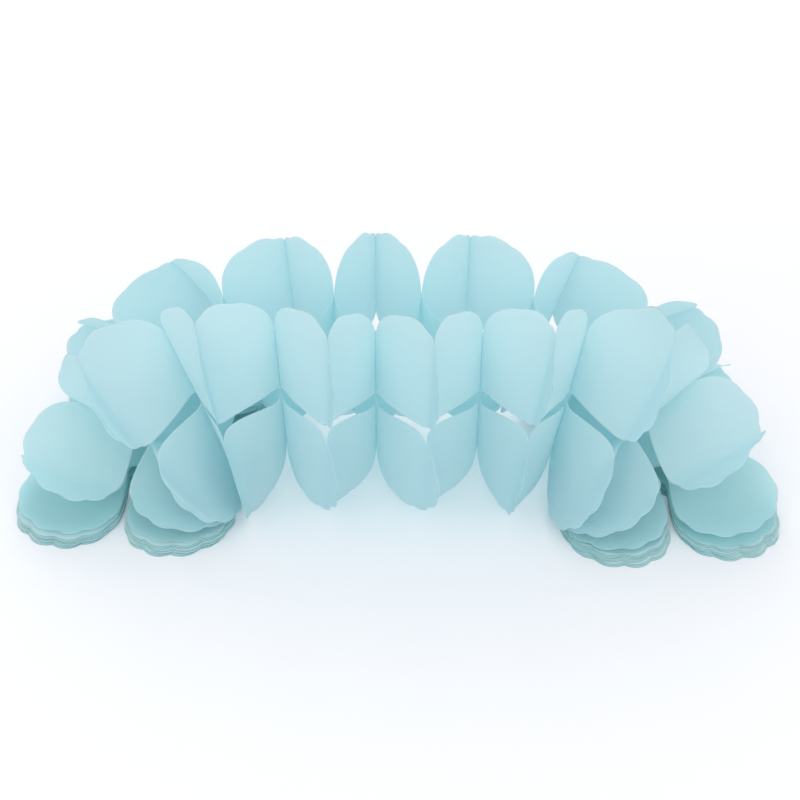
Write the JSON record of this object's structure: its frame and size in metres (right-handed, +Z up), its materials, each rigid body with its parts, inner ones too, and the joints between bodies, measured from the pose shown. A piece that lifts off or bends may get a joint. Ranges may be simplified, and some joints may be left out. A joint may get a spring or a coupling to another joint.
{
  "type": "honeycomb_paper_garland",
  "caption": "Honeycomb garland of die-cut tissue clovers in pale aqua, pulled open into a low arch between its two closed ends",
  "frame": {"origin": "on the table, at the middle of the garland's length and depth", "axes": "+X runs along the garland from the left closed end to the right one, +Y points to the back, +Z is up"},
  "size_m": [0.5126, 0.1887, 0.1624],
  "materials": {
    "tissue": "matte, thin enough to let light through",
    "tissue_closed": "matte, layered cut edges"
  },
  "bodies": {
    "root": {"left_pack": "tissue_closed", "sheet_1": "tissue", "sheet_2": "tissue", "sheet_3": "tissue", "sheet_4": "tissue", "sheet_5": "tissue", "sheet_6": "tissue", "sheet_7": "tissue", "sheet_8": "tissue", "sheet_9": "tissue", "sheet_10": "tissue", "sheet_11": "tissue", "sheet_12": "tissue", "sheet_13": "tissue", "sheet_14": "tissue", "sheet_15": "tissue", "sheet_16": "tissue", "sheet_17": "tissue", "sheet_18": "tissue", "sheet_19": "tissue", "sheet_20": "tissue", "sheet_21": "tissue", "right_pack": "tissue_closed"}
  },
  "joints": []
}
